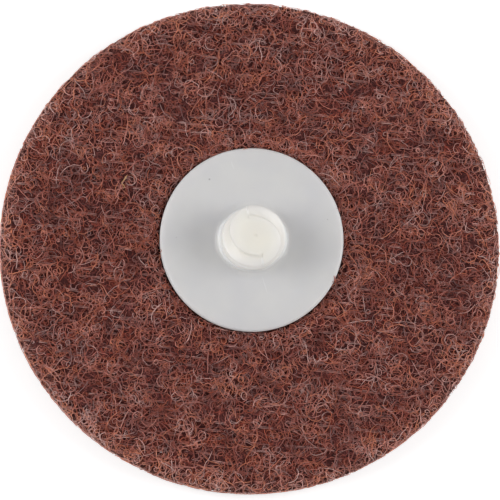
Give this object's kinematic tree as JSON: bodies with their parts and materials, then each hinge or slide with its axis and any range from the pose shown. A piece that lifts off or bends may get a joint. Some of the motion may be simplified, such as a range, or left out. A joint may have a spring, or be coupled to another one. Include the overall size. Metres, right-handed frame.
{
  "type": "surface conditioning disc",
  "caption": "Round nonwoven abrasive pad with a moulded threaded button on its back, for a quick-change holder; cleans, deburrs and blends metal.",
  "frame": {"origin": "middle of the pad's flat abrasive face, which the disc lies on", "axes": "+Z from the abrasive face to the back, along the stud; +X along the pad's slightly longer diameter"},
  "size_m": [0.0762, 0.0748, 0.014],
  "materials": {
    "nonwoven_web": "rough lofty web of resin-bonded maroon fibre with abrasive grain",
    "button_nylon": "natural moulded nylon, satin and slightly milky"
  },
  "bodies": {
    "root": {"nonwoven_disc": "nonwoven_web", "threaded_button": "button_nylon"}
  },
  "joints": []
}
